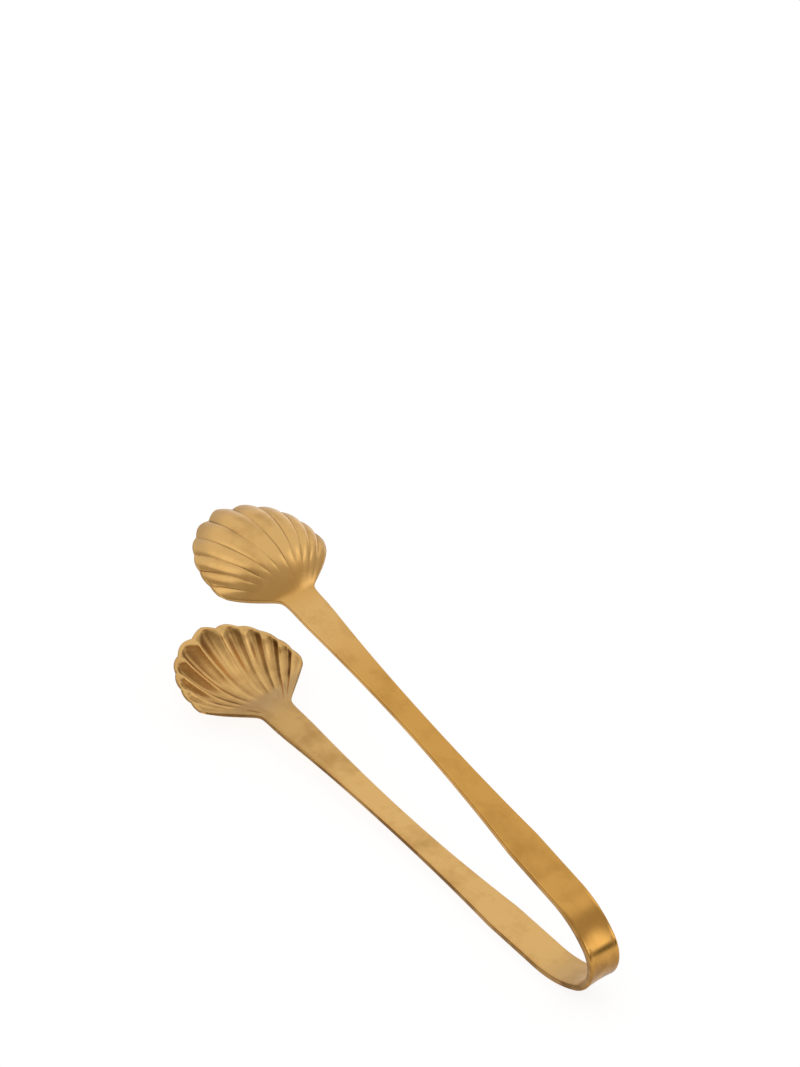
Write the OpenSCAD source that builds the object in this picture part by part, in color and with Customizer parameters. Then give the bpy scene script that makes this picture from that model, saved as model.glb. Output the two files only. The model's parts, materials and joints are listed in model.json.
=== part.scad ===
// Serving tongs of bent brass strip with a scallop-shell bowl on each arm.
// They lie on one side: the back of the lower shell and the shoulder of the lower arm touch the table.
//
// The pieces are drawn in the tongs' own frame: x runs from the bow's centre to the shells,
// z from the centre plane to the upper arm. at_rest() then lays the tongs on the table.

/* [Bow] */
// Radius of the bow's tight end, to the middle of the strip
bow_r = 9.8; // [7:0.1:11]
// Angle that the tight end turns through on each side of the centre plane
bow_arc = 51; // [40:1:60]
// Thickness of the strip round the bow
bow_t = 1.9; // [1.2:0.1:3]
// Width of the strip at the bow, the grips and the necks
strip_w = 10; // [8:0.1:14]

/* [Arms] */
// Height of an arm's middle line above the centre plane, abreast of the bow's centre
arm_rise = 12.6; // [11.5:0.1:16]
// Angle by which each arm leans outwards
arm_slope = 5.3; // [4:0.1:6.5]
// Distance from the bow's centre to the neck, where an arm becomes a shell
neck_x = 111; // [90:1:140]
// Thickness of the strip at the neck
neck_t = 1.3; // [0.8:0.1:2]
// Distance from the bow's centre to the narrowest place of an arm
waist_x = 67; // [55:1:75]
// Width of an arm at its narrowest place
waist_w = 6.9; // [5:0.1:7.8]
// Length of the stretch of full width before the neck
neck_len = 2; // [1:0.1:6]

/* [Shell rim] */
// Height of a shell's rim above the centre plane, to the middle of the sheet
rim_z = 24.1; // [22:0.1:28]
// Distance by which the rim's sides turn in towards the centre plane
rim_droop = 0.7; // [0:0.1:2]
// Distance from the neck to the centre of the rim's curve
rim_reach = 21.4; // [18:0.1:26]
// Length of the rim's curve from its centre to the tip, without the lobes
rim_len = 20.1; // [16:0.1:26]
// Half the width of the rim's curve, without the lobes
rim_half_w = 18.2; // [14:0.1:23]
// Fullness of the rim's curve, where 2 is an ellipse
rim_power = 2.1; // [1.8:0.1:3]
// Angle of the rim's curve from the tip to the shell's shoulder
rim_spread = 104; // [90:1:110]
// Number of lobes on the rim, and of ribs on the back
lobe_count = 11; // [7:2:15]
// Angle by which the lobes next to the tip push the others aside
lobe_crowd = 8; // [0:1:12]
// Height of the lobe at the tip
tip_lobe = 1.8; // [0.5:0.1:2.5]
// Height of the lobes along the sides
side_lobe = 0.34; // [0.1:0.02:1]
// Rounding of the shell's shoulders, as a share of the way across and along it
shoulder_round = 0.06; // [0.02:0.01:0.2]

/* [Shell bowl] */
// Thickness of the shell's sheet
sheet_t = 1; // [0.8:0.1:2]
// Depth that the bowl is pressed to, measured on the crowns of its ribs
bowl_depth = 5.5; // [3:0.1:8]
// Distance from the neck to where the bowl begins
bowl_start = 6; // [2:0.1:8]
// Length over which the bowl deepens from the neck
bowl_run = 17; // [12:0.1:22]
// Share of the way to the rim at which the bowl turns up again
bowl_flat = 0.4; // [0.2:0.05:0.6]
// Fullness of the bowl towards the tip, where 2 is a shallow curve
bowl_full = 3; // [2:0.1:4]
// Share of the bowl's depth that turns down close to its sides
bowl_edge = 0.25; // [0:0.05:0.5]
// Depth of a groove under the ribs beside it, where the ribs are widest
rib_h = 0.9; // [0.4:0.1:1.6]
// Distance from the neck to where the sides turn outwards
flare_start = 7.7; // [4:0.1:10]
// Roundness of the inside corner between neck and shell
flare_round = 1.1; // [1:0.1:5]
// Fullness of the sides between the neck and the shoulders, where 1 is straight
flare_full = 1.3; // [1:0.1:1.6]
// Distance from the neck to where the ribs begin
rib_start = 13; // [9:0.1:18]
// Length over which a rib rises from the plain neck
rib_rise = 4; // [3:0.1:10]
// Width of the plain lip inside the rim
lip_w = 2; // [1:0.1:4]

/* [Hidden] */

brass_back = "#c89b50";
brass_face = "#dab270";
$fn = 180;
waist_facets = 720;

// An arm begins with a shoulder, an arc that leads from the bow into the straight without a kink
shoulder_extra = (arm_rise * cos(arm_slope) - bow_r) / (1 - sin(arm_slope + bow_arc));
shoulder_r = bow_r + shoulder_extra;
shoulder_x = shoulder_extra * cos(bow_arc);
shoulder_z = -shoulder_extra * sin(bow_arc);
shoulder_turn = 90 - bow_arc - arm_slope;

shoulder_step = 3;
shoulder_cells = ceil(shoulder_turn / shoulder_step);

// Points of the shoulder on one face of the strip, from the bow to the straight
function shoulder_face(r) =
    [for (k = [0 : shoulder_cells])
        let (a = 180 - bow_arc - shoulder_turn * k / shoulder_cells)
        [shoulder_x + r * cos(a), shoulder_z + r * sin(a)]];

shoulder_outside = shoulder_face(shoulder_r + bow_t / 2);
shoulder_inside = shoulder_face(shoulder_r - bow_t / 2);

// Middle of the neck, in x and z
neck = [neck_x, arm_rise + neck_x * tan(arm_slope)];

// The arc that narrows an arm passes its waist and comes out to the full width just before the neck
waist_cut = (strip_w - waist_w) / 2;
waist_run = neck_x - neck_len - waist_x;
waist_r = (pow(waist_run, 2) + pow(waist_cut, 2)) / (2 * waist_cut);

// A shell is a grid: u runs across it from -1 to 1, v runs from the neck, 0, to the rim, 1
cells_per_lobe = 4;
across = lobe_count * cells_per_lobe;
along = 16;
tip_falloff = 5;

function tip_share(u) = pow(1 - abs(u), tip_falloff);

function lobe(u) = abs(cos(90 * lobe_count * u));

function rim_angle(u) =
    sign(u) * ((rim_spread - lobe_crowd) * abs(u) + lobe_crowd * (1 - tip_share(u)));

function rim_radius(a) =
    pow(pow(abs(cos(a)) / rim_len, rim_power) + pow(abs(sin(a)) / rim_half_w, rim_power), -1 / rim_power);

function rim_point(u) =
    let (lobe_h = side_lobe + (tip_lobe - side_lobe) * tip_share(u),
         r = rim_radius(rim_angle(u)) + lobe_h * lobe(u))
    [neck_x + rim_reach + r * cos(rim_angle(u)), r * sin(rim_angle(u))];

function smooth(t) = let (c = min(1, max(0, t))) c * c * (3 - 2 * c);

// A step from 0 to 1 that sets off sooner than it settles
function settle(t) = let (left = 1 - min(1, max(0, t))) 1 - pow(left, 3) * (4 - 3 * left);

function ramp(d) = (d - flare_start + sqrt(pow(d - flare_start, 2) + pow(flare_round, 2))) / 2;

// Share of the way from the strip's width to the rim's that the sides have turned out at d
function flare(d, reach) =
    let (straight = (ramp(d) - ramp(0)) / (ramp(reach) - ramp(0)))
    straight * (1 + (flare_full - 1) * (1 - straight));

// The corner between rim and side is drawn into a round one: p and q run into it from 0 to 1
function rounded(p, q) = shoulder_round * p * (sqrt(1 - q * q / 2) - 1);

function into_corner(t) = max(0, (t - 1) / shoulder_round + 1);

// Depth of the bowl, up to the crowns of the ribs
function dome(u, v, d) =
    let (past = max(0, (v - bowl_flat) / (1 - bowl_flat)),
         aside = 1 - (1 - bowl_edge) * pow(u, 2) - bowl_edge * pow(u, 8))
    bowl_depth * settle((d - bowl_start) / bowl_run) * (1 - pow(past, bowl_full)) * aside;

// Height of the sheet's middle on the way from the neck, where it keeps the arm's slope, to the rim
function middle_z(u, v, reach) =
    let (rise = rim_z - neck[1],
         start = reach * tan(arm_slope) - rise)
    neck[1] + rise * v + start * v * pow(1 - v, 3) - rim_droop * pow(v * u, 2);

// Share of the grooves' full depth: none at the neck and on the lip
function rib_share(d, to_rim, spread) =
    spread * smooth((d - rib_start) / rib_rise) * smooth(to_rim / lip_w);

// A point of the upper shell's sheet: side is 1 on its back and -1 inside the bowl
function shell_point(column, line, side) =
    let (p = into_corner(abs(column)),
         q = into_corner(line),
         u = column + sign(column) * rounded(p, q),
         v = line + rounded(q, p),
         rim = rim_point(u),
         reach = rim[0] - neck_x,
         d = v * reach,
         spread = flare(d, reach),
         half_t = (neck_t + (sheet_t - neck_t) * v) / 2,
         to_rim = (1 - v) * norm([reach, rim[1]]),
         groove = rib_h * (1 - lobe(u)) * rib_share(d, to_rim, spread))
    [neck_x + d,
     u * strip_w / 2 + (rim[1] - u * strip_w / 2) * spread,
     middle_z(u, v, reach) + side * half_t + dome(u, v, d) - groove];

function shell_sheet(side) =
    [for (j = [0 : along], i = [0 : across]) shell_point(2 * i / across - 1, j / along, side)];

back_points = shell_sheet(1);
shell_points = concat(back_points, shell_sheet(-1));

// Triangles of the sheet's back, of its inside and of the edge round both
row = across + 1;
inside = len(back_points);
back_faces = [for (j = [0 : along - 1], i = [0 : across - 1])
    let (p = j * row + i)
    each [[p, p + 1, p + row], [p + 1, p + row + 1, p + row]]];
inside_faces = [for (f = back_faces) [f[2] + inside, f[1] + inside, f[0] + inside]];
edge_loop = concat(
    [for (i = [0 : across - 1]) i],
    [for (j = [0 : along - 1]) j * row + across],
    [for (i = [across : -1 : 1]) along * row + i],
    [for (j = [along : -1 : 1]) j * row]);
edge_faces = [for (k = [0 : len(edge_loop) - 1])
    let (a = edge_loop[k], b = edge_loop[(k + 1) % len(edge_loop)])
    each [[b, a, a + inside], [b, a + inside, b + inside]]];

// The tongs lean back until the lower shell and the lower arm's shoulder are level
function shoulder_low(t) = min([for (p = shoulder_outside) p[0] * sin(t) - p[1] * cos(t)]);

function shell_low(t) = min([for (p = back_points) p[0] * sin(t) - p[2] * cos(t)]);

function level_tilt(low, high, steps) =
    let (t = (low + high) / 2)
    steps == 0 ? t
    : shell_low(t) < shoulder_low(t) ? level_tilt(t, high, steps - 1)
    : level_tilt(low, t, steps - 1);

tilt_steps = 30;
tilt = level_tilt(0, 30, tilt_steps);
tip_end = max([for (p = shell_points) p[0] * cos(tilt) + p[2] * sin(tilt)]);
bow_end = -bow_r - bow_t / 2;

module at_rest() {
    translate([(tip_end + bow_end) / 2, 0, -shoulder_low(tilt)])
    rotate([0, 0, 180])
    rotate([0, -tilt, 0])
    children();
}

module arm_strip() {
    neck_edges = [neck + [0, neck_t / 2], neck - [0, neck_t / 2]];
    back_again = [for (k = [shoulder_cells : -1 : 0]) shoulder_inside[k]];
    rotate([90, 0, 0])
    linear_extrude(strip_w, center = true)
    polygon(concat(shoulder_outside, neck_edges, back_again));
}

module waist_cutter(side) {
    height = 4 * rim_z;
    translate([waist_x, side * (waist_w / 2 + waist_r), 0])
    cylinder(r = waist_r, h = height, center = true, $fn = waist_facets);
}

module arm() {
    difference() {
        arm_strip();
        waist_cutter(1);
        waist_cutter(-1);
    }
}

module shell() {
    polyhedron(shell_points, concat(back_faces, inside_faces, edge_faces));
}

module bow() {
    rotate([90, 0, 0])
    rotate([0, 0, 180 - bow_arc])
    rotate_extrude(angle = 2 * bow_arc)
    translate([bow_r - bow_t / 2, -strip_w / 2])
    square([bow_t, strip_w]);
}

module spring_bow() {
    color(brass_back)
    at_rest()
    bow();
}

module upper_arm() {
    color(brass_back)
    at_rest()
    arm();
}

module lower_arm() {
    color(brass_face)
    at_rest()
    mirror([0, 0, 1])
    arm();
}

module upper_shell() {
    color(brass_back)
    at_rest()
    shell();
}

module lower_shell() {
    color(brass_face)
    at_rest()
    mirror([0, 0, 1])
    shell();
}

spring_bow();
upper_arm();
lower_arm();
upper_shell();
lower_shell();
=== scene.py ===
import json
import math

import bmesh
import bpy
from bpy.props import FloatProperty, FloatVectorProperty, IntProperty, PointerProperty
from mathutils import Matrix, Vector
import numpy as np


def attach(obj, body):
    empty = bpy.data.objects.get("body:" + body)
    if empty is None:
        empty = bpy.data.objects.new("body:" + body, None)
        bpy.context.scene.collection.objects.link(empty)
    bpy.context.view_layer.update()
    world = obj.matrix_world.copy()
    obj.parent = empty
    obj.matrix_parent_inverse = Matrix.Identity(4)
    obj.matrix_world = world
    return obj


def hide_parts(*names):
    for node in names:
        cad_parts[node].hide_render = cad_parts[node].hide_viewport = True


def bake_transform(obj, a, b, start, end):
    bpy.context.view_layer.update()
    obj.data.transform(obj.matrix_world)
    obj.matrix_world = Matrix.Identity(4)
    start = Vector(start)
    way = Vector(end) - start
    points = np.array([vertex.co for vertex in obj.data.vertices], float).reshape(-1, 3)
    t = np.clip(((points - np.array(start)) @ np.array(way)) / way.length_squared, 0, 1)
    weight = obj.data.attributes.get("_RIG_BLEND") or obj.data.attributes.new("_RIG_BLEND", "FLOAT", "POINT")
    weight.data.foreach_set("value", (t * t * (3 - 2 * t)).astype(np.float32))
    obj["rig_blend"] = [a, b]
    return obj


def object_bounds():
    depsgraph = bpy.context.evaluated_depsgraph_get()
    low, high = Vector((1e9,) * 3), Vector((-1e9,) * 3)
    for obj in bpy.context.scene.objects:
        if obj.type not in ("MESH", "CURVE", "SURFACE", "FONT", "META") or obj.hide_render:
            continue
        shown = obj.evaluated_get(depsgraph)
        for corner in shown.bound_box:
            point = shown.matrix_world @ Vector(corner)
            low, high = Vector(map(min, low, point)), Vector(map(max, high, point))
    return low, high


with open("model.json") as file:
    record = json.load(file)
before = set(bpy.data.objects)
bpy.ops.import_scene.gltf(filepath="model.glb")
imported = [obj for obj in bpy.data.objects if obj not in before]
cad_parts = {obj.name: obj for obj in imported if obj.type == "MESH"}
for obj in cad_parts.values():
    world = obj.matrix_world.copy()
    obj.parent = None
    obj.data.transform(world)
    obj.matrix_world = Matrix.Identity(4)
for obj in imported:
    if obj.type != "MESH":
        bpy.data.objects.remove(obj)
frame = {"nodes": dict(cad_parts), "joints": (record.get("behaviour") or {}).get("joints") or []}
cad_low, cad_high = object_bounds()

bl_info = {
    "name": "Shell Tongs",
    "version": (1, 0, 0),
    "blender": (4, 5, 0),
    "location": "View3D > Sidebar > Tongs",
    "description": "Serving tongs of satin brass strip with a scallop shell on each arm",
    "category": "Add Mesh",
}

MM = 0.001


def linear(hex_colour):
    """An sRGB colour written as #rrggbb, as the linear red, green and blue that shaders take."""
    shares = [int(hex_colour[i:i + 2], 16) / 255 for i in (1, 3, 5)]
    return tuple(c / 12.92 if c <= 0.04045 else ((c + 0.055) / 1.055) ** 2.4 for c in shares)


def length(name, description, millimetres):
    """A size that a user may set, given in millimetres and kept in metres."""
    return FloatProperty(name=name, description=description, default=millimetres * MM,
                         unit="LENGTH", subtype="DISTANCE", precision=5)


def angle(name, description, degrees):
    """An angle that a user may set, given in degrees."""
    return FloatProperty(name=name, description=description, default=math.radians(degrees),
                         unit="ROTATION", subtype="ANGLE")


def share(name, description, default):
    """A plain number that a user may set."""
    return FloatProperty(name=name, description=description, default=default, precision=3)


def colour(name, description, hex_colour):
    """A colour that a user may set."""
    return FloatVectorProperty(name=name, description=description, default=linear(hex_colour),
                               subtype="COLOR", size=3, min=0.0, max=1.0)


class StripSizes(bpy.types.PropertyGroup):
    bow_r: length("Bow radius", "Radius of the bow's tight end, to the middle of the strip", 9.8)
    bow_arc: angle("Bow arc", "Turn of the tight end on each side of the centre plane", 51)
    bow_t: length("Bow thickness", "Thickness of the strip round the bow", 1.89)
    dish: length("Bow dish", "Depth of the strip's middle under its edges where the bow bent it", 0.25)
    strip_w: length("Strip width", "Width of the strip at the bow, the grips and the necks", 10)
    arm_rise: length("Arm rise", "Height of an arm over the centre plane, abreast of the bow's centre", 12.6)
    arm_slope: angle("Arm slope", "Lean of each arm away from the centre plane", 5.3)
    arm_belly: length("Arm belly", "Outward swell of an arm halfway along its straight", 0.4)
    neck_x: length("Neck", "Distance from the bow's centre to the neck", 111)
    neck_t: length("Neck thickness", "Thickness of the strip at the neck", 1.3)
    waist_x: length("Waist", "Distance from the bow's centre to the narrowest place of an arm", 67)
    waist_w: length("Waist width", "Width of an arm at its narrowest place", 6.9)
    neck_len: length("Neck length", "Stretch of full width before the neck", 2)
    edge_round: length("Edge rounding", "Width of the worn corner along the strip's edges", 0.42)


class ShellSizes(bpy.types.PropertyGroup):
    rim_z: length("Rim height", "Height of the rim over the centre plane", 24.1)
    rim_droop: length("Rim droop", "Turn of the rim's sides towards the centre plane", 0.7)
    rim_reach: length("Rim reach", "Distance from the neck to the centre of the rim's curve", 21.4)
    rim_len: length("Rim length", "Distance from that centre to the tip, without the lobes", 20.1)
    rim_half_w: length("Rim half width", "Half the width of the rim's curve, without the lobes", 18.18)
    rim_power: share("Rim fullness", "Fullness of the rim's curve, where 2 is an ellipse", 2.1)
    rim_spread: angle("Rim spread", "Angle of the rim's curve from the tip to the shell's shoulder", 104)
    rim_t: length("Rim thickness", "Thickness of the sheet at the rim", 0.75)
    rim_round: length("Rim rounding", "Width of the worn corner along the shell's edge", 0.25)
    shoulder_round: share("Shoulder rounding", "Share of rim and side that a rounded shoulder takes", 0.06)
    lobe_count: IntProperty(name="Lobes", description="Lobes on the rim, and ribs on the back",
                            default=11, min=7, max=15)
    lobe_crowd: angle("Lobe crowding", "Angle by which the lobes at the tip push the others aside", 8)
    lobe_uneven: angle("Uneven lobes", "Turn of the lobes at the lower shell's tip", 4.5)
    tip_lobe: length("Tip lobe", "Height of the lobe at the tip", 1.8)
    side_lobe: length("Side lobe", "Height of the lobes along the sides", 0.34)
    bowl_depth: length("Bowl depth", "Depth of the bowl, measured on the crowns of its ribs", 5.49)
    bowl_start: length("Bowl start", "Distance from the neck to where the bowl begins", 6)
    bowl_run: length("Bowl run", "Length over which the bowl's back rises from the neck", 17)
    hollow_depth: length("Hollow depth", "Depth of the bowl's inside, measured in its flutes", 4.9)
    hollow_run: length("Hollow run", "Length over which the bowl's inside deepens from the neck", 24)
    bowl_flat: share("Bowl flat", "Share of the way to the rim at which the bowl turns up again", 0.4)
    bowl_full: share("Bowl fullness", "Fullness of the bowl towards the tip, where 2 is a shallow curve", 3)
    bowl_edge: share("Bowl edge", "Share of the bowl's depth that turns down close to its sides", 0.25)
    groove_h: length("Groove depth", "Depth of a groove on the back under the ribs beside it", 0.45)
    crease_w: length("Crease width", "Half the width of the dark crease in a groove", 0.25)
    flute_h: length("Flute depth", "Depth of a flute inside the bowl under the ridges beside it", 1.6)
    flute_skew: share("Flute skew", "Deepest place of a flute between its ridges, from the tip's side", 0.62)
    flute_run: length("Flute run", "Length over which a flute deepens from the plain neck", 18)
    flare_start: length("Flare start", "Distance from the neck to where the sides turn outwards", 7.7)
    flare_round: length("Flare rounding", "Roundness of the corner between neck and shell", 1.1)
    flare_full: share("Flare fullness", "Fullness of the sides up to the shoulders, where 1 is straight", 1.3)
    flare_uneven: share("Uneven flare", "How much fuller the upper shell's sides are, the lower's less", 0.2)
    rib_start: length("Rib start", "Distance from the neck to where ribs and flutes begin", 13)
    rib_rise: length("Rib rise", "Length over which a rib rises from the plain neck", 4)
    lip_w: length("Lip width", "Width of the plain lip inside the rim", 1.4)


class BrassFinish(bpy.types.PropertyGroup):
    back: colour("Back", "Brass on the outer faces, rubbed bright by hands", "#dfa857")
    # Dull brass, which also paints shade inside the upper bowl, on the slope into the lower bowl and along
    # the rims
    face: colour("Face", "Brass on the inner faces and the shells, paler and drier", "#efc079")
    patina_and_shade: colour("Patina", "Dull brass that nobody rubs", "#917c65")
    stain: colour("Stain", "Faint brown clouds that handling leaves", "#a8742f")
    # This film colour also paints shade: under the bow, in the flutes, at the necks and on the inner faces
    # there
    film: colour("Film", "Dark film that gathers in grooves and on the narrow sides", "#5c3810")
    roughness: share("Roughness", "Roughness of the satin finish", 0.2)
    face_rough: share("Face roughness", "How much rougher the paler brass is", 0.06)
    patina_and_shade_rough: share("Patina roughness", "How much rougher the dull brass is", 0.12)
    film_rough: share("Film roughness", "How much rougher the film is", 0.25)
    brush_rough: share("Brush roughness", "How much rougher or smoother a brush mark is", 0.01)
    cloud: length("Clouds", "Size of the brown clouds", 9)
    brush: length("Brush marks", "Spacing of the brush marks, drawn coarser than the real ones to show", 0.3)
    brush_run: length("Brush run", "Length of a brush mark", 30)
    brush_h: length("Brush depth", "Depth of a brush mark", 0.0004)
    ripple: length("Ripples", "Size of the hammered ripples in the flat of the strip", 14)
    ripple_h: length("Ripple height", "Height of those ripples", 0.03)


# Film, dull and pale brass, and painted shade: under the bow, in the flutes, at the necks, on the slope into
# the lower bowl, inside the upper bowl and along the rims
class TarnishAndShade(bpy.types.PropertyGroup):
    wall_film: share("Wall film", "Film on the strip's narrow sides", 0.55)
    wall_uneven: share("Uneven wall film", "How much more of it the lower arm has, and less the upper", 0.2)
    upper_rim_film: share("Upper rim film", "Film along the upper shell's edge", 0.45)
    lower_rim_film: share("Lower rim film", "Film along the lower shell's edge", 0.7)
    crease_film: share("Crease film", "Film in the creases on a shell's back", 0.9)
    crease_left: share("Crease left", "Share of that film where a crease is worn", 0.2)
    crease_wear: share("Crease wear", "Wave of that wear from the neck to the rim, in radians", 9)
    crease_shift: share("Crease shift", "Shift of that wave from one crease to the next, in radians", 2)
    # Film and painted shade high in the flutes
    flute_film_and_shade: share("Flute film", "Film high in a flute", 0.55)
    stain_run: length("Flute film run", "Distance from the rim over which it fades", 15)
    # Painted shade: the streak is a dark reflection on a flute's steep side
    streak_shade: share("Streak film", "Film in the streak on the steep side of a flute", 1.0)
    streak_low: share("Low streak", "Share of that film low in the bowl", 0.2)
    streak_tip: share("Tip streak", "Share of that film in the flutes at the tip", 0.45)
    streak_from: share("Streak from", "Share of the way across at which the streaks are full", 0.4)
    streak_place: share("Streak place", "Place of a streak from the ridge nearer the tip to the next", 0.8)
    streak_w: share("Streak width", "Half the width of a streak, as a share of that way", 0.22)
    streak_sharp: share("Streak sharpness", "Sharpness of a streak's edges", 1.6)
    # Painted shade on the inner faces at the necks, between the two arms
    neck_shade: share("Neck film", "Film on the inner faces at the necks", 0.2)
    neck_run: length("Neck film run", "Length over which it fades along an arm", 30)
    # Painted shade where the bow looks down at the table; the turn, reach and fade below shape it
    under_shade: share("Underside film", "Film where the bow looks down at the table", 0.6)
    under_turn: share("Underside turn", "Upward part of a face's normal from which that film is gone", 0.7)
    under_reach: length("Underside reach", "Distance from the bow's end that all of that film covers", 20)
    under_fade: length("Underside fade", "Length over which it fades from there", 30)
    back_pale: share("Pale back", "Pale brass on a shell's back", 0.85)
    pale_side: share("Pale side", "Share of the way across over which the back's far side turns pale", 0.5)
    neck_pale: share("Pale neck", "Pale brass on the outer faces at the necks", 0.85)
    pale_run: length("Pale run", "Length over which it fades along an arm", 32)
    # Dull brass and painted shade along the rim of a shell's back, darker where it reflects the table
    rim_dull_and_shade: share("Dull rim", "Dull brass along the rim on a shell's back", 0.45)
    dull_run: length("Dull run", "Distance from the rim over which it fades", 7)
    # From here across to the near side, the rim is left without that dull brass and painted shade
    unshaded_from: share("Rubbed from", "Place across the back from which hands rub the rim bright", 0.2)
    unshaded_fade: share("Rubbed fade", "Share of the way across over which that sets in", 0.4)
    bowl_dull: share("Dull bowl", "Dull brass elsewhere on a shell", 0.04)
    # Painted shade on the slope from the neck into the lower bowl
    slope_shade: share("Dull slope", "Dull brass on the slope into the lower bowl", 0.45)
    # Painted shade all over the inside of the upper bowl, which looks down
    upper_shade: share("Dull upper bowl", "Dull brass inside the upper bowl", 0.75)
    loop_dull: share("Dull loop", "Dull brass inside the bow's loop", 0.6)
    loop_reach: length("Loop reach", "Distance from the bow's end over which it fades", 22)


class StageLook(bpy.types.PropertyGroup):
    azimuth: angle("Camera azimuth", "Direction of the camera round the object", 45.656)
    elevation: angle("Camera elevation", "Height of the camera over the table, as an angle", 40.093)
    roll: angle("Camera roll", "Lean of the camera about its line of sight", 5.231)
    distance: length("Camera distance", "Distance from the camera to the point it is aimed at", 1033.36)
    aim: FloatVectorProperty(name="Aim", description="Point of the table that the camera is aimed at",
                             default=(-0.088152, 0.080991, 0.0), subtype="TRANSLATION", unit="LENGTH")
    lens: FloatProperty(name="Lens", description="Focal length over a frame 36 mm high", default=118.09)


SIDES = (("upper", False), ("lower", True))

# Fineness of the meshes: the steps round the bow are so small that its seams don't show in reflections
STRIP_COLUMNS = 10
BOW_STEPS = 160
SHOULDER_STEPS = 110
ARM_CUTS = 90
CELLS_PER_LOBE = 14
SHELL_ROWS = 110
EDGE_SEGMENTS = 3
# Edges that turn by more than this are the strip's corners
CORNER = math.radians(60)
# Faces that look aside by more than this are the strip's narrow sides
WALL_TURN = math.cos(math.radians(25))

# Layers of numbers on the vertices, which the brass reads
PALE = "pale"
DULL = "dull"
# This layer holds real film and painted shade alike
GRIME_AND_SHADE = "grime_and_shade"
ACROSS = "across"

# Height of the camera's frame in millimetres, over which its lens is given, and how far it sees in metres
FRAME_HEIGHT = 36
SIGHT = 100
TABLE_RADIUS = 6.0
# The table's own glow and its grey under the studio's light, which add up to white
TABLE_GLOW = 0.88
TABLE_GREY = 0.2
# Colour of the studio's walls, and its lights and dark card: azimuth from +X, elevation, half angle and
# width of the soft edge, all in degrees, then brightness
STUDIO_WALL = (0.45, 0.42, 0.385)
SOFT_LIGHTS = (
    (150, 40, 58, 9, 0.8),
    (238, 64, 24, 10, 1.0),
    (137, 23, 5, 5, 0.6),
    (74, 42, 7, 7, 1.3),
    (36, 23, 8, 5, 1.5),
    (30, 4, 8, 4, 0.06),
)


def smooth(t):
    """A soft step from 0 to 1."""
    c = min(1.0, max(0.0, t))
    return c * c * (3 - 2 * c)


def rising(start, t):
    """A soft step from start to 1."""
    return start + (1 - start) * smooth(t)


def settle(t):
    """A step from 0 to 1 that sets off sooner than it settles."""
    left = 1 - min(1.0, max(0.0, t))
    return 1 - left ** 3 * (4 - 3 * left)


# Place of the tongs: they lie with the bow's centre on the joints' axis, leaning back by lean

HINGE = Vector(frame["joints"][0]["pos_m"])


def lean():
    """Angle of the tongs' centre plane over the table, which passes midway between the shells."""
    points = [v.co for side, _ in SIDES for v in frame["nodes"][side + "_shell"].data.vertices]
    middle = sum(points, Vector()) / len(points) - HINGE
    return math.atan2(middle.z, -middle.x)


def at_rest():
    """From the tongs' own frame, x from the bow to the shells and z to the upper arm, to the table's."""
    turned = Matrix.Rotation(math.pi, 4, "Z") @ Matrix.Rotation(-lean(), 4, "Y")
    return Matrix.Translation(HINGE) @ turned


REST = at_rest()


# Steps that every piece shares

def add_layers(bm):
    """Adds the layers of numbers that the brass reads. Gives them by name."""
    return {name: bm.verts.layers.float.new(name) for name in (PALE, DULL, GRIME_AND_SHADE, ACROSS)}


def lay_down(bm, mirrored):
    """Turns a lower piece over, and lays a piece in its place on the table."""
    if mirrored:
        bmesh.ops.scale(bm, vec=(1, 1, -1), verts=bm.verts[:])
    bmesh.ops.transform(bm, matrix=REST, verts=bm.verts[:])
    bmesh.ops.recalc_face_normals(bm, faces=bm.faces[:])


def cap_ends(bm):
    """Closes the ends of a piece, where it meets the next one, with sharp edges."""
    ends = bmesh.ops.holes_fill(bm, edges=[e for e in bm.edges if e.is_boundary], sides=0)["faces"]
    for end in ends:
        for edge in end.edges:
            edge.smooth = False
    bmesh.ops.recalc_face_normals(bm, faces=bm.faces[:])


def piece(bm, name):
    """A finished mesh as an object in the scene, in brass."""
    for face in bm.faces:
        face.smooth = True
    mesh = bpy.data.meshes.new(name)
    bm.to_mesh(mesh)
    bm.free()
    mesh.materials.append(satin_brass())
    obj = bpy.data.objects.new(name, mesh)
    bpy.context.scene.collection.objects.link(obj)
    weighted = obj.modifiers.new("flat faces stay flat", "WEIGHTED_NORMAL")
    weighted.keep_sharp = True
    return obj


# Strip

class Shoulder:
    """The arc that leads from the bow into the straight of an arm without a kink."""

    def __init__(self, strip):
        extra = strip.arm_rise * math.cos(strip.arm_slope) - strip.bow_r
        extra /= 1 - math.sin(strip.arm_slope + strip.bow_arc)
        self.radius = strip.bow_r + extra
        self.centre = Vector((extra * math.cos(strip.bow_arc), 0, -extra * math.sin(strip.bow_arc)))
        self.turn = math.pi / 2 - strip.bow_arc - strip.arm_slope
        self.end_x = self.centre.x - self.radius * math.sin(strip.arm_slope)


def neck_height(strip):
    """Height of an arm over the centre plane at the neck."""
    return strip.arm_rise + strip.neck_x * math.tan(strip.arm_slope)


def section(bm, strip):
    """The strip's cross-section at the top of the bow: its outline alone, with its inner side pale."""
    layers = add_layers(bm)
    bmesh.ops.create_grid(bm, x_segments=STRIP_COLUMNS, y_segments=1, size=0.5)
    bmesh.ops.delete(bm, geom=bm.faces[:], context="FACES_KEEP_BOUNDARY")
    for vert in bm.verts:
        vert[layers[PALE]] = 1.0 if vert.co.y > 0 else 0.0
        vert[layers[ACROSS]] = vert.co.x * strip.strip_w
        vert.co = Vector((vert.co.y * strip.bow_t - strip.bow_r, vert.co.x * strip.strip_w, 0))
    return bm.verts[:] + bm.edges[:]


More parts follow.
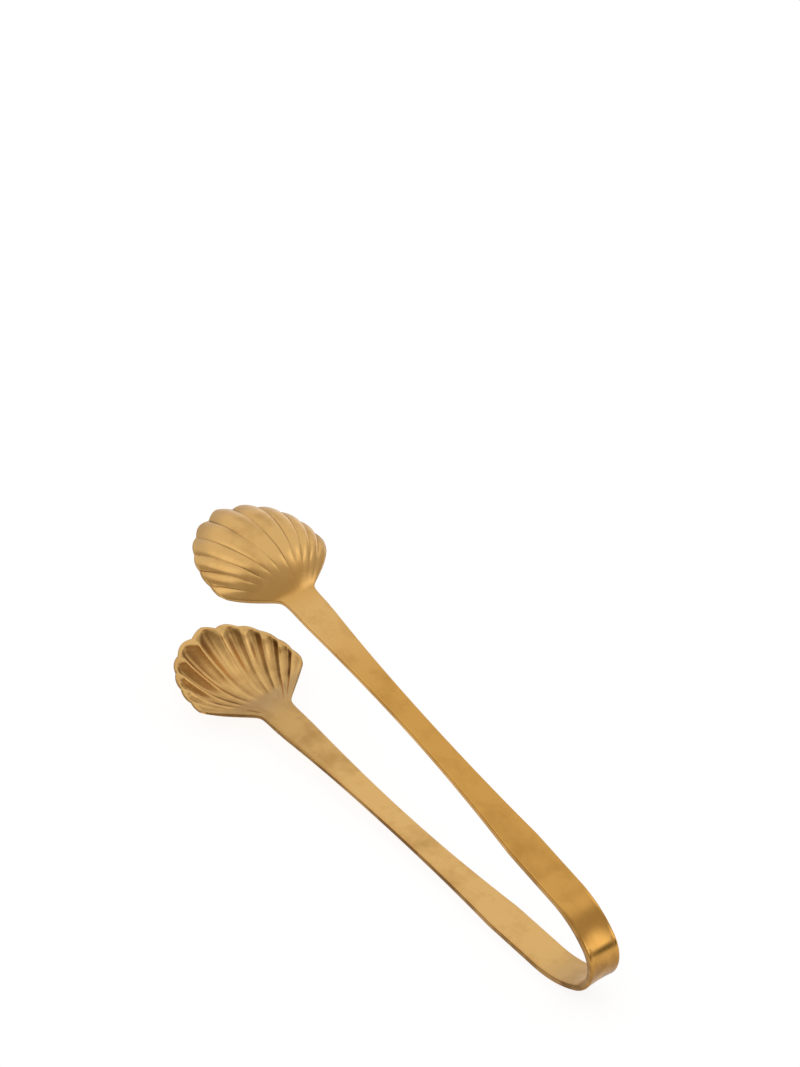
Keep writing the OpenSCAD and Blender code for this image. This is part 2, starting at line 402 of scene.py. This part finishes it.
def spin(bm, geom, centre, turn, steps):
    """Turns an outline round the Y direction and leaves a strip behind it. Gives the outline at the end."""
    return bmesh.ops.spin(bm, geom=geom, cent=centre, axis=(0, 1, 0), angle=turn, steps=steps)["geom_last"]


def dish_middle(bm, strip, centre, fade):
    """Sinks the strip's middle towards centre, as the bending of the bow left it."""
    for vert in bm.verts:
        out = Vector((vert.co.x - centre.x, 0, vert.co.z - centre.z)).normalized()
        across = 2 * vert.co.y / strip.strip_w
        vert.co -= out * strip.dish * (1 - across * across) * fade(vert.co)


def film_walls(bm, strip, tarnish_and_shade, mirrored):
    """Films over the strip's narrow sides, which polish misses, the lower arm's more than the upper's."""
    grime_and_shade = bm.verts.layers.float[GRIME_AND_SHADE]
    uneven = tarnish_and_shade.wall_uneven if mirrored else -tarnish_and_shade.wall_uneven
    for face in bm.faces:
        if abs(face.normal.y) > WALL_TURN:
            for vert in face.verts:
                vert[grime_and_shade] = tarnish_and_shade.wall_film + uneven * smooth(2 * vert.co.z / strip.bow_r)


def shade_bow(bm, tarnish_and_shade):
    """Paints shade on the bow where it looks down at the table, and dulls its loop's inside towards the bow's
    end.
    """
    grime_and_shade = bm.verts.layers.float[GRIME_AND_SHADE]
    pale = bm.verts.layers.float[PALE]
    dull = bm.verts.layers.float[DULL]
    bm.normal_update()
    for vert in bm.verts:
        from_end = cad_high.x - vert.co.x
        deep = 1 - smooth(from_end / tarnish_and_shade.loop_reach)
        vert[dull] = max(vert[dull], tarnish_and_shade.loop_dull * vert[pale] * deep)
        # Painted shade on the faces that look down, near the bow's end
        turned = smooth((tarnish_and_shade.under_turn - vert.normal.z) / tarnish_and_shade.under_turn)
        near = 1 - smooth((from_end - tarnish_and_shade.under_reach) / tarnish_and_shade.under_fade)
        vert[grime_and_shade] = max(vert[grime_and_shade], tarnish_and_shade.under_shade * turned * near)


def close_strip(bm, strip, tarnish_and_shade, mirrored):
    """Rounds the corners along a strip, lays it in its place on the table and caps its ends."""
    corners = [e for e in bm.edges if len(e.link_faces) == 2 and e.calc_face_angle() > CORNER]
    bmesh.ops.bevel(bm, geom=corners, offset=strip.edge_round, offset_type="OFFSET", affect="EDGES",
                    segments=EDGE_SEGMENTS, profile=0.5, material=-1)
    bm.normal_update()
    film_walls(bm, strip, tarnish_and_shade, mirrored)
    lay_down(bm, mirrored)
    shade_bow(bm, tarnish_and_shade)
    cap_ends(bm)


def bow_half(strip, tarnish_and_shade, mirrored):
    """Half of the bow's tight end, from the centre plane to an arm."""
    bm = bmesh.new()
    spin(bm, section(bm, strip), (0, 0, 0), strip.bow_arc, BOW_STEPS)
    dish_middle(bm, strip, Vector(), lambda point: 1)
    close_strip(bm, strip, tarnish_and_shade, mirrored)
    return bm


def half_width(strip, x):
    """Half the width of an arm at x: an arc passes the waist and eases out into the full width."""
    cut = (strip.strip_w - strip.waist_w) / 2
    run = strip.neck_x - strip.neck_len - strip.waist_x
    radius = (run * run + cut * cut) / (2 * cut)
    away = min(abs(x - strip.waist_x), radius)
    arc = strip.waist_w / 2 + radius - math.sqrt(radius * radius - away * away)
    return min(strip.strip_w / 2, arc)


def arm(strip, tarnish_and_shade, mirrored):
    """An arm: its shoulder is spun from the bow's end, its straight is drawn out to the neck."""
    bm = bmesh.new()
    shoulder = Shoulder(strip)
    ring = section(bm, strip)
    pale = bm.verts.layers.float[PALE]
    grime_and_shade = bm.verts.layers.float[GRIME_AND_SHADE]
    bmesh.ops.rotate(bm, verts=bm.verts[:], cent=(0, 0, 0), matrix=Matrix.Rotation(strip.bow_arc, 3, "Y"))
    ring = spin(bm, ring, shoulder.centre, shoulder.turn, SHOULDER_STEPS)

    def fade(point):
        return 1 - smooth((point.x + strip.bow_r * math.cos(strip.bow_arc)) / shoulder.end_x)

    dish_middle(bm, strip, shoulder.centre, fade)
    drawn = bmesh.ops.extrude_edge_only(bm, edges=[e for e in ring if isinstance(e, bmesh.types.BMEdge)])
    for vert in drawn["geom"]:
        if isinstance(vert, bmesh.types.BMVert):
            side = 1 - 2 * vert[pale]
            vert.co.x = strip.neck_x
            vert.co.z = neck_height(strip) + side * strip.neck_t / 2
    long_edges = [e for e in bm.edges if e.calc_length() > strip.neck_x / 2]
    bmesh.ops.subdivide_edges(bm, edges=long_edges, cuts=ARM_CUTS, use_grid_fill=True)
    for vert in bm.verts:
        along = (vert.co.x - shoulder.end_x) / (strip.neck_x - shoulder.end_x)
        if along > 0:
            vert.co.y *= half_width(strip, vert.co.x) / (strip.strip_w / 2)
            vert.co.z += strip.arm_belly * math.sin(math.pi * along) ** 2
            to_neck = strip.neck_x - vert.co.x
            # Painted shade on the inner face, fading from the neck along the arm
            vert[grime_and_shade] = tarnish_and_shade.neck_shade * vert[pale] * smooth(1 - to_neck / tarnish_and_shade.neck_run)
            vert[pale] = max(vert[pale], tarnish_and_shade.neck_pale * smooth(1 - to_neck / tarnish_and_shade.pale_run))
    close_strip(bm, strip, tarnish_and_shade, mirrored)
    return bm


# Shell

class ShellForm:
    """The pressed sheet: u runs across it from -1 to 1, v from the neck, 0, to the rim, 1."""

    # How quickly the tip's own form is lost towards the sides, and how close to the sides the bowl turns down
    tip_falloff = 5
    edge_power = 8
    # How closely the columns of the mesh gather at the grooves, and at the grooves beside the shoulders
    gather = 0.6
    gather_end = 1.4
    # Shares of a groove's depth that are left at the rim and at the tip, and how far from the tip it is full
    rim_relief = 0.4
    tip_relief = 0.5
    full_relief = 0.6
    # How many times as far as a flute a ridge runs before it is level with the lip
    ridge_runout = 3

    def __init__(self, strip, shell, tarnish_and_shade, lower):
        self.strip = strip
        self.shell = shell
        self.tarnish_and_shade = tarnish_and_shade
        self.lower = lower
        self.fullness = shell.flare_full + (-shell.flare_uneven if lower else shell.flare_uneven)
        self.neck_z = neck_height(strip)

    def column(self, u):
        """The place across the shell of a column of an even grid, drawn closer to the grooves."""
        ribs = self.shell.lobe_count * (abs(u) + 1) / 2
        rib = min(math.floor(ribs), self.shell.lobe_count - 1)
        t = ribs - rib
        if rib == self.shell.lobe_count - 1:
            t = t ** self.gather_end
        else:
            t -= self.gather * math.sin(2 * math.pi * t) / (2 * math.pi)
        return math.copysign(2 * (rib + t) / self.shell.lobe_count - 1, u)

    def shoulder(self, u, v):
        """Draws the corner between rim and side into a round one."""
        size = self.shell.shoulder_round
        p = (abs(u) - 1) / size + 1
        q = (v - 1) / size + 1
        if p <= 0 or q <= 0:
            return u, v
        p, q = p * math.sqrt(1 - q * q / 2), q * math.sqrt(1 - p * p / 2)
        return math.copysign(1 + (p - 1) * size, u), 1 + (q - 1) * size

    def tip_share(self, u):
        """How much of the tip's own form there is at u: 1 at the tip, 0 at the sides."""
        return (1 - abs(u)) ** self.tip_falloff

    def past_groove(self, u):
        """How far u lies past a groove: 0 in it, 1 in the next one."""
        ribs = self.shell.lobe_count * (u + 1) / 2
        return ribs - math.floor(ribs)

    def from_groove(self, u):
        """How far u lies from the nearest groove: 0 in it, 1 on the crown of a rib."""
        return 1 - 2 * abs(self.past_groove(u) - 0.5)

    def rim_angle(self, u):
        """Direction of the rim at u, seen from the centre of its curve."""
        crowd = self.shell.lobe_crowd
        size = (self.shell.rim_spread - crowd) * abs(u) + crowd * (1 - self.tip_share(u))
        turned = self.shell.lobe_uneven * self.tip_share(u) if self.lower else 0
        return math.copysign(size, u) - turned

    def rib_angle(self, u):
        """Angle that one rib takes of the rim's curve."""
        crowded = self.shell.lobe_crowd * self.tip_falloff * (1 - abs(u)) ** (self.tip_falloff - 1)
        return (self.shell.rim_spread - self.shell.lobe_crowd + crowded) * 2 / self.shell.lobe_count

    def rim_point(self, u):
        """Place of the rim at u, along the shell from the neck and aside."""
        shell = self.shell
        turn = self.rim_angle(u)
        power = shell.rim_power
        ahead = abs(math.cos(turn)) / shell.rim_len
        aside = abs(math.sin(turn)) / shell.rim_half_w
        lobe_h = shell.side_lobe + (shell.tip_lobe - shell.side_lobe) * self.tip_share(u)
        radius = (ahead ** power + aside ** power) ** (-1 / power)
        radius += lobe_h * math.sin(math.pi / 2 * self.from_groove(u))
        return shell.rim_reach + radius * math.cos(turn), radius * math.sin(turn)

    def ramp(self, d):
        """A line that is level before the flare and climbs after it, with a round corner."""
        past = d - self.shell.flare_start
        return (past + math.sqrt(past * past + self.shell.flare_round ** 2)) / 2

    def flare(self, d, reach):
        """Share of the way from the strip's width to the rim's that the sides have turned out at d."""
        straight = (self.ramp(d) - self.ramp(0)) / (self.ramp(reach) - self.ramp(0))
        return straight * (1 + (self.fullness - 1) * (1 - straight))

    def dome(self, u, v, d, depth, run):
        """Height that the press raised the crowns of the ribs by, or the flutes under them."""
        shell = self.shell
        deepened = depth * settle((d - shell.bowl_start) / run)
        past = max(0, (v - shell.bowl_flat) / (1 - shell.bowl_flat))
        along = 1 - past ** shell.bowl_full
        aside = 1 - (1 - shell.bowl_edge) * u ** 2 - shell.bowl_edge * u ** self.edge_power
        return deepened * along * aside

    def rooted(self, d):
        """How far ribs and flutes have risen at d: 0 on the plain neck, 1 past their roots."""
        return smooth((d - self.shell.rib_start) / self.shell.rib_rise)

    def begun(self, d):
        """How much of the shell's own finish there is at d: 0 at the neck, 1 from the ribs on."""
        return smooth(d / self.shell.rib_start)

    def worn(self, u, v):
        """Share of the film that wear has left in the nearest crease."""
        tarnish_and_shade = self.tarnish_and_shade
        groove = round(self.shell.lobe_count * (u + 1) / 2)
        wave = (1 + math.sin(tarnish_and_shade.crease_wear * v + tarnish_and_shade.crease_shift * groove)) / 2
        return tarnish_and_shade.crease_left + (1 - tarnish_and_shade.crease_left) * wave

    def back(self, u, v, d, fan, to_rim):
        """Height, film, paleness and dullness of the back: low convex ribs, dark creases between them, and
        dull brass with painted shade along the rim except on the near side.
        """
        shell, tarnish_and_shade = self.shell, self.tarnish_and_shade
        rooted, begun = self.rooted(d), self.begun(d)
        depth = shell.groove_h * rising(self.tip_relief, abs(u) / self.full_relief)
        depth *= rising(self.rim_relief, to_rim / shell.lip_w)
        height = self.dome(u, v, d, shell.bowl_depth, shell.bowl_run)
        height -= depth * (1 - self.from_groove(u)) ** 3 * fan * rooted
        half_pitch = fan * self.rib_angle(u) * shell.rim_half_w / 2
        crease = 1 - smooth(self.from_groove(u) * half_pitch / shell.crease_w)
        grime_and_shade = tarnish_and_shade.crease_film * self.worn(u, v) * crease * rooted
        pale = max(tarnish_and_shade.neck_pale * (1 - begun),
                   tarnish_and_shade.back_pale * smooth((d - shell.flare_start / 2) / shell.rib_start),
                   tarnish_and_shade.back_pale * begun * smooth(-u / tarnish_and_shade.pale_side))
        # Where the rim's dull brass and painted shade leave off: away from the rim, and on the near side
        rubbed = max(smooth(to_rim / tarnish_and_shade.dull_run),
                     smooth((u - tarnish_and_shade.unshaded_from) / tarnish_and_shade.unshaded_fade))
        dull = begun * (tarnish_and_shade.bowl_dull + (tarnish_and_shade.rim_dull_and_shade - tarnish_and_shade.bowl_dull) * (1 - rubbed))
        return height, grime_and_shade, pale, dull

    def sunk(self, u):
        """How deep in a flute u lies: 0 on a ridge, 1 in the deepest place, which lies away from the tip."""
        past = self.past_groove(abs(u))
        deepest = self.shell.flute_skew if abs(u) > 1 / self.shell.lobe_count else 0.5
        return smooth(min(past / deepest, (1 - past) / (1 - deepest)))

    def inside_film_and_shade(self, u, to_edge):
        """Film and painted shade high in the flutes, with a streak of painted shade on their steep side, a
        dark reflection that is faint at the tip.
        """
        shell, tarnish_and_shade = self.shell, self.tarnish_and_shade
        lip = smooth((to_edge - shell.lip_w / 2) / shell.lip_w)
        high = 1 - smooth(to_edge / tarnish_and_shade.stain_run)
        # Film and painted shade high in a flute
        flute = tarnish_and_shade.flute_film_and_shade * high * self.sunk(u)
        # Painted shade: a dark reflection along the flute's steep side
        off = abs(self.past_groove(abs(u)) - tarnish_and_shade.streak_place) / tarnish_and_shade.streak_w
        streak = tarnish_and_shade.streak_shade * smooth(tarnish_and_shade.streak_sharp * (1 - off))
        streak *= rising(tarnish_and_shade.streak_tip, abs(u) / tarnish_and_shade.streak_from)
        streak *= tarnish_and_shade.streak_low + (1 - tarnish_and_shade.streak_low) * high
        return lip * max(flute, streak)

    def inside(self, u, v, d, fan, to_edge):
        """Height, film and painted shade, paleness and dullness of the inside: flutes that end at a plain
        lip, painted shade on the slope into the lower bowl and all over the upper bowl.
        """
        shell, tarnish_and_shade = self.shell, self.tarnish_and_shade
        rooted, begun = self.rooted(d), self.begun(d)
        flute = self.sunk(u)
        height = self.dome(u, v, d, shell.hollow_depth, shell.hollow_run)
        height -= shell.flute_h * (1 - flute) * fan * smooth((d - shell.rib_start) / shell.flute_run)
        runout = shell.lip_w * (self.ridge_runout + (1 - self.ridge_runout) * flute)
        height *= smooth((to_edge - shell.lip_w / 2) / runout)
        # Painted shade near the neck inside the shell
        grime_and_shade = max(self.inside_film_and_shade(u, to_edge) * rooted, tarnish_and_shade.neck_shade * (1 - begun))
        slope = tarnish_and_shade.slope_shade * (1 - rooted)
        # Painted shade on the lower bowl's slope, and all over the upper bowl's inside
        dull = begun * (max(tarnish_and_shade.bowl_dull, slope) if self.lower else tarnish_and_shade.upper_shade)
        return height, grime_and_shade, 1.0, dull

    def point(self, u, v, back):
        """The place of a point on the sheet's back or inside, with its film and painted shade, paleness and
        dullness.
        """
        strip, shell, tarnish_and_shade = self.strip, self.shell, self.tarnish_and_shade
        reach, rim_y = self.rim_point(u)
        d = v * reach
        spread = self.flare(d, reach)
        rise = shell.rim_z - self.neck_z
        # The sheet leaves the arm without a kink
        start = math.tan(strip.arm_slope) * reach - rise
        middle_z = self.neck_z + rise * v + start * v * (1 - v) ** 3 - shell.rim_droop * (v * u) ** 2
        half_t = (strip.neck_t + (shell.rim_t - strip.neck_t) * v) / 2
        # The ribs fan out from the neck: their width here, as a share of that at the rim
        fan = spread + (1 - spread) * strip.strip_w / 2 / shell.rim_half_w
        to_rim = (1 - v) * math.hypot(reach, rim_y)
        to_edge = min(to_rim, (1 - abs(u)) * fan * shell.rim_half_w)
        if back:
            height, grime_and_shade, pale, dull = self.back(u, v, d, fan, to_rim)
            z = middle_z + height + half_t
        else:
            height, grime_and_shade, pale, dull = self.inside(u, v, d, fan, to_edge)
            z = middle_z + height - half_t
        rim_film = tarnish_and_shade.lower_rim_film if self.lower else tarnish_and_shade.upper_rim_film
        edge = rim_film * (1 - smooth(to_edge / shell.crease_w))
        neck_y = u * strip.strip_w / 2
        y = neck_y + (rim_y - neck_y) * spread
        return Vector((strip.neck_x + d, y, z)), max(grime_and_shade, edge), pale, dull


def sheet_blank(bm, columns):
    """A flat grid, 2 by 2, and a second skin over it, open at the neck. Gives the edges along its rim."""
    bmesh.ops.create_grid(bm, x_segments=columns, y_segments=SHELL_ROWS, size=1.0)
    cell_u = 2 / columns
    close = cell_u / 4
    # The cells along the sides are joined by threes, so that there is room for the rounding
    spare_u = [1 - cell_u, 1 - 2 * cell_u]
    spare = [e for e in bm.edges
             if any(all(abs(abs(v.co.x) - u) < close for v in e.verts) for u in spare_u)]
    bmesh.ops.dissolve_edges(bm, edges=spare, use_verts=True)
    second = bmesh.ops.extrude_face_region(bm, geom=bm.verts[:] + bm.edges[:] + bm.faces[:],
                                           use_keep_orig=True)["geom"]
    lifted = [v for v in second if isinstance(v, bmesh.types.BMVert)]
    bmesh.ops.translate(bm, verts=lifted, vec=(0, 0, 1))

    def along_rim(edge):
        a, b = (v.co for v in edge.verts)
        level = abs(a.z - b.z) < close
        side = abs(abs(a.x) - 1) < close and abs(a.x - b.x) < close
        tip = abs(a.y - 1) < close and abs(b.y - 1) < close
        return level and (side or tip)

    rim = [e for e in bm.edges if along_rim(e)]
    neck_wall = [f for f in bm.faces if all(abs(v.co.y + 1) < close for v in f.verts)]
    bmesh.ops.delete(bm, geom=neck_wall, context="FACES_ONLY")
    return rim


def shell_sheet(strip, shell, tarnish_and_shade, mirrored):
    """A shell: a flat blank, pressed into its form, with a rounded edge."""
    bm = bmesh.new()
    layers = add_layers(bm)
    rim = sheet_blank(bm, shell.lobe_count * CELLS_PER_LOBE)
    form = ShellForm(strip, shell, tarnish_and_shade, mirrored)
    for vert in bm.verts:
        back = vert.co.z > 0.5
        u, v = form.shoulder(form.column(vert.co.x), (vert.co.y + 1) / 2)
        vert.co, vert[layers[GRIME_AND_SHADE]], vert[layers[PALE]], vert[layers[DULL]] = form.point(u, v, back)
        vert[layers[ACROSS]] = u * strip.strip_w / 2
    bmesh.ops.recalc_face_normals(bm, faces=bm.faces[:])
    bmesh.ops.bevel(bm, geom=rim, offset=shell.rim_round, offset_type="OFFSET", affect="EDGES",
                    segments=EDGE_SEGMENTS, profile=0.5, material=-1)
    loose = [e for e in bm.edges if not e.link_faces]
    bmesh.ops.delete(bm, geom=loose, context="EDGES")
    lay_down(bm, mirrored)
    cap_ends(bm)
    return bm


# Finish

def add_node(tree, kind, settings=None, values=None, links=None):
    """Adds a node with its settings, the values of its sockets and the links into them."""
    node = tree.nodes.new(kind)
    for name, value in (settings or {}).items():
        setattr(node, name, value)
    for socket, value in (values or {}).items():
        node.inputs[socket].default_value = value
    for socket, source in (links or {}).items():
        tree.links.new(source, node.inputs[socket])
    return node


def satin_brass():
    """Brass strip, hammered, pressed and brushed to a satin.

    To the eye it is a soft mirror: broad blurred reflections that waver a little over the flat, faint
    brush marks along the strip, brown clouds where it was handled and a dark film in the grooves. The film
    and the dull brass also paint shade: under the bow, in the flutes, at the necks and inside the bowls.
    """
    found = bpy.data.materials.get("satin_brass")
    if found:
        return found
    finish = bpy.context.scene.tongs_brass
    material = bpy.data.materials.new("satin_brass")
    material.use_nodes = True
    tree = material.node_tree
    tree.nodes.clear()
    place = add_node(tree, "ShaderNodeTexCoord").outputs["Object"]
    pale = add_node(tree, "ShaderNodeAttribute", {"attribute_name": PALE}).outputs["Fac"]
    dull = add_node(tree, "ShaderNodeAttribute", {"attribute_name": DULL}).outputs["Fac"]
    grime_and_shade = add_node(tree, "ShaderNodeAttribute", {"attribute_name": GRIME_AND_SHADE}).outputs["Fac"]
    across = add_node(tree, "ShaderNodeAttribute", {"attribute_name": ACROSS}).outputs["Fac"]

    # Clouds, brush marks along the strip and ripples
    cloud = add_node(tree, "ShaderNodeTexNoise", None,
                     {"Scale": 1 / finish.cloud, "Detail": 5, "Roughness": 0.6},
                     {"Vector": place}).outputs["Fac"]
    along = add_node(tree, "ShaderNodeSeparateXYZ", None, None, {0: place}).outputs["X"]
    combed = add_node(tree, "ShaderNodeCombineXYZ", None, None, {"X": along, "Y": across})
    combed = add_node(tree, "ShaderNodeMapping", None,
                      {"Scale": (1 / finish.brush_run, 1 / finish.brush, 1)}, {"Vector": combed.outputs[0]})
    brushed = add_node(tree, "ShaderNodeTexNoise", None,
                       {"Scale": 1, "Detail": 3, "Roughness": 0.6},
                       {"Vector": combed.outputs[0]}).outputs["Fac"]
    ripple = add_node(tree, "ShaderNodeTexNoise", None,
                      {"Scale": 1 / finish.ripple, "Detail": 1}, {"Vector": place}).outputs["Fac"]

    # Colour: pale or bright brass, dull places, faint clouds and a film that the clouds thin here and there;
    # the dull places and the film are partly painted shade
    stained = add_node(tree, "ShaderNodeMapRange", None,
                       {"From Min": 0.46, "From Max": 0.72, "To Min": 0.0, "To Max": 0.4}, {"Value": cloud})
    patchy = add_node(tree, "ShaderNodeMapRange", None,
                      {"From Min": 0.38, "From Max": 0.6, "To Min": 0.75, "To Max": 1.1}, {"Value": cloud})
    film_and_shade = add_node(tree, "ShaderNodeMath", {"operation": "MULTIPLY", "use_clamp": True}, None,
                      {0: grime_and_shade, 1: patchy.outputs[0]}).outputs[0]
    brass = add_node(tree, "ShaderNodeMix", {"data_type": "RGBA"},
                     {6: (*finish.back, 1), 7: (*finish.face, 1)}, {0: pale}).outputs[2]
    # The dull brass and the film mixed in here are also painted shade: under the bow, in the flutes, at the
    # necks and inside the bowls
    for tint, amount in ((finish.patina_and_shade, dull), (finish.stain, stained.outputs[0]), (finish.film, film_and_shade)):
        brass = add_node(tree, "ShaderNodeMix", {"data_type": "RGBA"}, {7: (*tint, 1)},
                         {0: amount, 6: brass}).outputs[2]

    # Roughness: a satin that the brush marks vary, rougher where there is film or painted shade, pale or dull
    rough = add_node(tree, "ShaderNodeMapRange", {"clamp": False},
                     {"From Min": 0.3, "From Max": 0.7, "To Min": finish.roughness - finish.brush_rough,
                      "To Max": finish.roughness + finish.brush_rough}, {"Value": brushed}).outputs[0]
    for more, amount in ((finish.film_rough, film_and_shade), (finish.face_rough, pale), (finish.patina_and_shade_rough, dull)):
        rough = add_node(tree, "ShaderNodeMath", {"operation": "MULTIPLY_ADD"}, {1: more},
                         {0: amount, 2: rough}).outputs[0]

    waves = add_node(tree, "ShaderNodeBump", None, {"Strength": 1.0, "Distance": finish.ripple_h},
                     {"Height": ripple}).outputs[0]
    marks = add_node(tree, "ShaderNodeBump", None, {"Strength": 0.5, "Distance": finish.brush_h},
                     {"Height": brushed, "Normal": waves}).outputs[0]
    shader = add_node(tree, "ShaderNodeBsdfPrincipled", None, {"Metallic": 1.0},
                      {"Base Color": brass, "Roughness": rough, "Normal": marks})
    add_node(tree, "ShaderNodeOutputMaterial", None, None, {"Surface": shader.outputs["BSDF"]})
    return material


# Stage

def floor_material():
    """A white table: its own glow and the studio's light on it add up to white, less the soft shadow."""
    material = bpy.data.materials.new("white_table")
    material.use_nodes = True
    tree = material.node_tree
    tree.nodes.clear()
    path = add_node(tree, "ShaderNodeLightPath").outputs
    seen = path["Is Camera Ray"]
    for ray in ("Is Glossy Ray", "Is Transmission Ray"):
        seen = add_node(tree, "ShaderNodeMath", {"operation": "MAXIMUM"}, None,
                        {0: seen, 1: path[ray]}).outputs[0]
    glow = add_node(tree, "ShaderNodeMath", {"operation": "MULTIPLY"}, {1: TABLE_GLOW}, {0: seen}).outputs[0]
    matte = add_node(tree, "ShaderNodeBsdfDiffuse", None, {"Color": (TABLE_GREY, TABLE_GREY, TABLE_GREY, 1)})
    white = add_node(tree, "ShaderNodeEmission", None, {"Color": (1, 1, 1, 1)}, {"Strength": glow})
    both = add_node(tree, "ShaderNodeAddShader", None, None, {0: matte.outputs[0], 1: white.outputs[0]})
    add_node(tree, "ShaderNodeOutputMaterial", None, None, {"Surface": both.outputs[0]})
    return material


def direction(azimuth, elevation):
    """The way from the object to a place in the studio, with azimuth counted from +X."""
    flat = math.cos(elevation)
    return Vector((math.cos(azimuth) * flat, math.sin(azimuth) * flat, math.sin(elevation)))


def world_light():
    """A dim warm studio with soft lights behind the object, over it and past the bow, and a dark card."""
    world = bpy.data.worlds.new("studio")
    world.use_nodes = True
    tree = world.node_tree
    tree.nodes.clear()
    way = add_node(tree, "ShaderNodeTexCoord").outputs["Generated"]
    glow = add_node(tree, "ShaderNodeRGB")
    glow.outputs[0].default_value = (*STUDIO_WALL, 1)
    glow = glow.outputs[0]
    for azimuth, elevation, half, edge, strength in SOFT_LIGHTS:
        towards = direction(math.radians(azimuth), math.radians(elevation))
        near = add_node(tree, "ShaderNodeVectorMath", {"operation": "DOT_PRODUCT"}, {1: towards}, {0: way})
        lit = add_node(tree, "ShaderNodeMapRange", {"interpolation_type": "SMOOTHSTEP"},
                       {"From Min": math.cos(math.radians(half + edge)),
                        "From Max": math.cos(math.radians(half - edge))}, {"Value": near.outputs["Value"]})
        glow = add_node(tree, "ShaderNodeMix", {"data_type": "RGBA"}, {7: (strength, strength, strength, 1)},
                        {0: lit.outputs[0], 6: glow}).outputs[2]
    sky = add_node(tree, "ShaderNodeBackground", None, {"Strength": 1.0}, {"Color": glow})
    add_node(tree, "ShaderNodeOutputWorld", None, None, {"Surface": sky.outputs[0]})
    bpy.context.scene.world = world


def camera(look):
    """The camera at the photograph's viewing angle."""
    flat = math.cos(look.elevation)
    back = Vector((math.sin(look.azimuth) * flat, -math.cos(look.azimuth) * flat, math.sin(look.elevation)))
    data = bpy.data.cameras.new("camera")
    data.sensor_fit = "VERTICAL"
    data.sensor_height = FRAME_HEIGHT
    data.lens = look.lens
    data.clip_end = SIGHT
    obj = bpy.data.objects.new("camera", data)
    obj.location = Vector(look.aim) + back * look.distance
    turned = (-back).to_track_quat("-Z", "Y").to_matrix() @ Matrix.Rotation(look.roll, 3, "Z")
    obj.rotation_euler = turned.to_euler()
    bpy.context.scene.collection.objects.link(obj)
    bpy.context.scene.camera = obj


class TONGS_OT_stage(bpy.types.Operator):
    """Add the table, the studio's light and the camera"""
    bl_idname = "tongs.stage"
    bl_label = "Stage"

    def execute(self, context):
        bm = bmesh.new()
        bmesh.ops.create_circle(bm, cap_ends=True, segments=64, radius=TABLE_RADIUS)
        mesh = bpy.data.meshes.new("table")
        bm.to_mesh(mesh)
        bm.free()
        mesh.materials.append(floor_material())
        table = bpy.data.objects.new("table", mesh)
        context.scene.collection.objects.link(table)
        world_light()
        camera(context.scene.tongs_stage)
        context.scene.view_settings.view_transform = "Standard"
        return {"FINISHED"}


class TONGS_OT_spring_bow(bpy.types.Operator):
    """Add both halves of the spring bow"""
    bl_idname = "tongs.spring_bow"
    bl_label = "Spring bow"

    def execute(self, context):
        strip, tarnish_and_shade = context.scene.tongs_strip, context.scene.tongs_tarnish
        # The bend ends where the bow's inner side meets an arm, so that all of the seam moves with the arm
        inner_r = strip.bow_r - strip.bow_t / 2 - strip.dish
        rise = inner_r * math.sin(strip.bow_arc)
        for side, mirrored in SIDES:
            obj = piece(bow_half(strip, tarnish_and_shade, mirrored), side + "_bow_half")
            start = REST @ Vector((-strip.bow_r, 0, 0))
            end = REST @ Vector((-strip.bow_r, 0, -rise if mirrored else rise))
            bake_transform(obj, "bow", side + "_half", start=start, end=end)
            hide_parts("spring_bow")
        return {"FINISHED"}


class TONGS_OT_arms(bpy.types.Operator):
    """Add the two arms"""
    bl_idname = "tongs.arms"
    bl_label = "Arms"

    def execute(self, context):
        strip, tarnish_and_shade = context.scene.tongs_strip, context.scene.tongs_tarnish
        for side, mirrored in SIDES:
            obj = piece(arm(strip, tarnish_and_shade, mirrored), side + "_arm_strip")
            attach(obj, side + "_half")
            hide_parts(side + "_arm")
        return {"FINISHED"}


class TONGS_OT_shells(bpy.types.Operator):
    """Add the two scallop shells"""
    bl_idname = "tongs.shells"
    bl_label = "Shells"

    def execute(self, context):
        scene = context.scene
        for side, mirrored in SIDES:
            sheet = shell_sheet(scene.tongs_strip, scene.tongs_shell, scene.tongs_tarnish, mirrored)
            obj = piece(sheet, side + "_shell_sheet")
            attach(obj, side + "_half")
            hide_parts(side + "_shell")
        return {"FINISHED"}


class TONGS_PT_sidebar(bpy.types.Panel):
    """The tongs' pieces, in the order in which they are made"""
    bl_idname = "TONGS_PT_sidebar"
    bl_label = "Tongs"
    bl_space_type = "VIEW_3D"
    bl_region_type = "UI"
    bl_category = "Tongs"

    def draw(self, context):
        for operator in OPERATORS:
            self.layout.operator(operator.bl_idname)


GROUPS = {
    "tongs_strip": StripSizes,
    "tongs_shell": ShellSizes,
    "tongs_brass": BrassFinish,
    "tongs_tarnish": TarnishAndShade,
    "tongs_stage": StageLook,
}
OPERATORS = (TONGS_OT_stage, TONGS_OT_spring_bow, TONGS_OT_arms, TONGS_OT_shells)


def register():
    for group in GROUPS.values():
        bpy.utils.register_class(group)
    for name, group in GROUPS.items():
        setattr(bpy.types.Scene, name, PointerProperty(type=group))
    for cls in (*OPERATORS, TONGS_PT_sidebar):
        bpy.utils.register_class(cls)


def unregister():
    for cls in (TONGS_PT_sidebar, *reversed(OPERATORS)):
        bpy.utils.unregister_class(cls)
    for name in GROUPS:
        delattr(bpy.types.Scene, name)
    for group in GROUPS.values():
        bpy.utils.unregister_class(group)


def main():
    register()
    bpy.ops.tongs.stage()
    bpy.ops.tongs.spring_bow()
    bpy.ops.tongs.arms()
    bpy.ops.tongs.shells()


if __name__ == "__main__":
    main()
